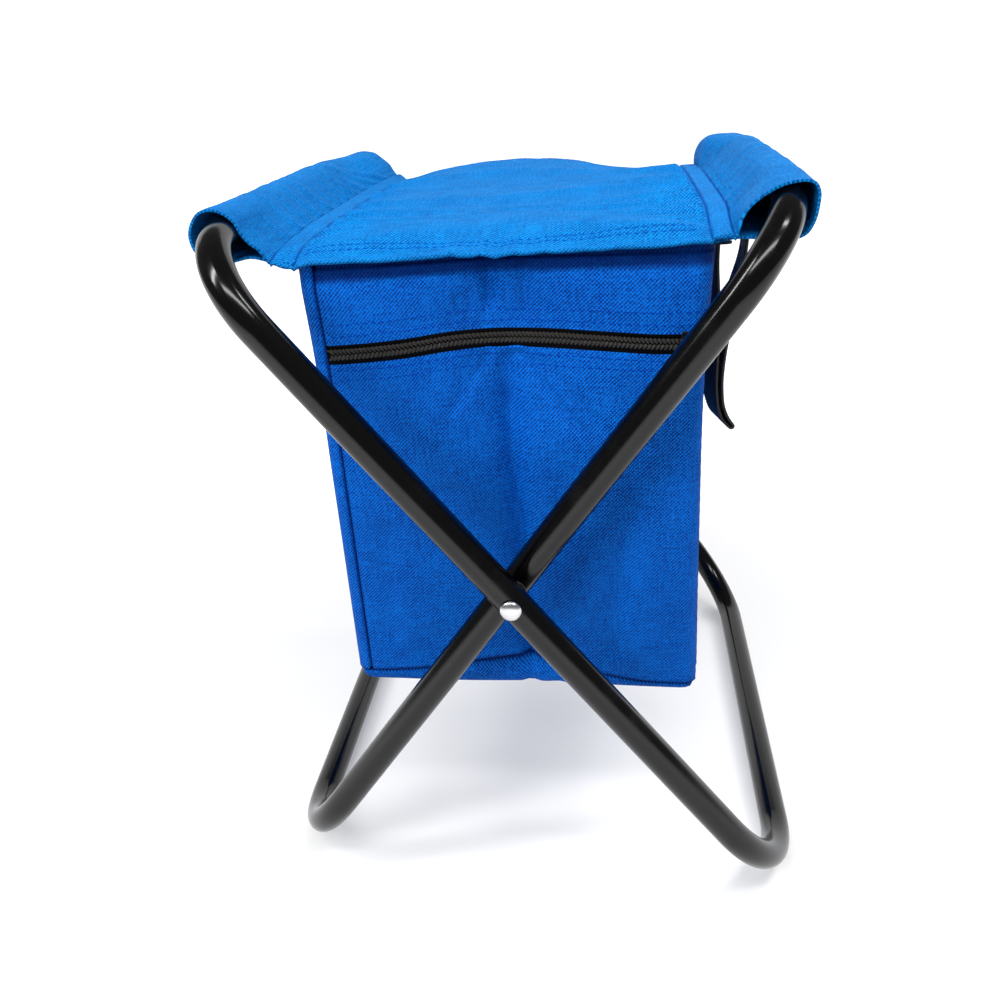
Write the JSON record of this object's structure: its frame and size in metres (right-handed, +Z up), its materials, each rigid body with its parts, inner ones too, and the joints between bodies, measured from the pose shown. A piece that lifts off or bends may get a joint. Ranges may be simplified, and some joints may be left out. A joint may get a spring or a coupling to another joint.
{
  "type": "folding cooler stool",
  "caption": "Folding stool of crossed tube loops with a cloth seat round their top bars and an insulated zipped cooler bag below; it closes scissor-wise about its pivot.",
  "frame": {"origin": "on the floor, straight under the pivot and midway between the two pivot rivets", "axes": "+Z up; +X from the outer loop's top bar towards the inner loop's top bar, to the right as seen from the front; +Y from the front, where the pocket is, towards the back"},
  "size_m": [0.2968, 0.3526, 0.3776],
  "materials": {
    "black_enamel": "gloss",
    "plain_steel": "satin",
    "bright_rivet": "polished",
    "grey_nylon": "matte",
    "seat_cloth": "matte coated weave",
    "bag_cloth": "matte coated weave",
    "black_webbing": "satin webbing",
    "white_foam": "matte closed-cell foam sheet",
    "silver_liner": "gloss silver film",
    "zip_tape": "matte woven tape",
    "zip_coil": "satin",
    "zip_metal": "satin"
  },
  "bodies": {
    "outer_frame": {"outer_loop_tube": "black_enamel", "outer_joint_insert": "plain_steel", "rear_pivot_rivet": "bright_rivet", "rear_pivot_washer": "grey_nylon", "front_pivot_rivet": "bright_rivet", "front_pivot_washer": "grey_nylon", "left_sleeve": "seat_cloth", "seat_panel": "seat_cloth", "seat_front_hem": "seat_cloth", "seat_rear_hem": "seat_cloth"},
    "inner_frame": {"inner_loop_tube": "black_enamel", "inner_joint_insert": "plain_steel", "right_sleeve": "seat_cloth"},
    "carry_strap": {"carry_strap": "black_webbing"},
    "bag": {"front_upper_panel": "bag_cloth", "pocket_front_panel": "bag_cloth", "pocket_back_panel": "bag_cloth", "bag_back_panel": "bag_cloth", "bag_bottom_panel": "bag_cloth", "bag_top_facing": "bag_cloth", "foam_insulation": "white_foam", "foil_liner": "silver_liner", "pocket_zip_upper_tape": "zip_tape", "pocket_zip_lower_tape": "zip_tape", "pocket_zip_upper_coil": "zip_coil", "pocket_zip_lower_coil": "zip_coil", "main_zip_front_tape": "zip_tape", "main_zip_rear_tape": "zip_tape", "main_zip_front_coil": "zip_coil", "main_zip_rear_coil": "zip_coil"},
    "bag_left_side": {"left_gusset": "bag_cloth"},
    "bag_right_side": {"right_gusset": "bag_cloth"},
    "pocket_zip_slider": {"pocket_zip_slider": "zip_metal"},
    "pocket_zip_pull": {"pocket_zip_pull": "zip_metal"},
    "main_zip_slider": {"main_zip_slider": "zip_metal"},
    "main_zip_pull": {"main_zip_pull": "zip_metal"}
  },
  "joints": [
    {"name": "frame_fold", "type": "hinge", "parent": "outer_frame", "child": "inner_frame", "pos_m": [0, 0, 0.19642], "axis": [0, -1, 0], "range_deg": [0, 66], "deforming": ["seat_panel", "seat_front_hem", "seat_rear_hem", "left_sleeve", "right_sleeve", "front_upper_panel", "pocket_front_panel", "pocket_back_panel", "bag_back_panel", "bag_bottom_panel", "bag_top_facing", "foam_insulation", "foil_liner", "pocket_zip_upper_tape", "pocket_zip_lower_tape", "pocket_zip_upper_coil", "pocket_zip_lower_coil", "main_zip_front_tape", "main_zip_rear_tape", "main_zip_front_coil", "main_zip_rear_coil"]},
    {"name": "bag_follow", "type": "hinge", "parent": "outer_frame", "child": "bag", "pos_m": [0, 0, 0.19642], "axis": [0, -1, 0], "range_deg": [0, 33.01]},
    {"name": "left_side_fold", "type": "slide", "parent": "bag", "child": "bag_left_side", "axis": [1, 0, 0], "range_m": [0, 0.0821]},
    {"name": "right_side_fold", "type": "slide", "parent": "bag", "child": "bag_right_side", "axis": [-1, 0, 0], "range_m": [0, 0.0821]},
    {"name": "strap_swing", "type": "hinge", "parent": "inner_frame", "child": "carry_strap", "pos_m": [0.1107, -0.075, 0.35149], "axis": [0, -1, 0], "range_deg": [0, 80]},
    {"name": "pocket_zip_travel", "type": "slide", "parent": "bag_right_side", "child": "pocket_zip_slider", "axis": [1, 0, 0], "range_m": [-0.16, 0]},
    {"name": "pocket_pull_swing", "type": "hinge", "parent": "pocket_zip_slider", "child": "pocket_zip_pull", "pos_m": [0.0865, -0.1256, 0.3095], "axis": [-1, 0, 0], "range_deg": [0, 170]},
    {"name": "main_zip_travel", "type": "slide", "parent": "bag_right_side", "child": "main_zip_slider", "axis": [1, 0, 0], "range_m": [-0.15, 0]},
    {"name": "main_pull_swing", "type": "hinge", "parent": "main_zip_slider", "child": "main_zip_pull", "pos_m": [0.0841, -0.113, 0.3502], "axis": [0, 0, -1], "range_deg": [0, 90]}
  ],
  "couplings": [
    {"joint": "bag_follow", "follows": "frame_fold", "ratio": 0.5},
    {"joint": "left_side_fold", "follows": "frame_fold", "m_per_rad": 0.071186},
    {"joint": "right_side_fold", "follows": "frame_fold", "m_per_rad": 0.071186}
  ]
}
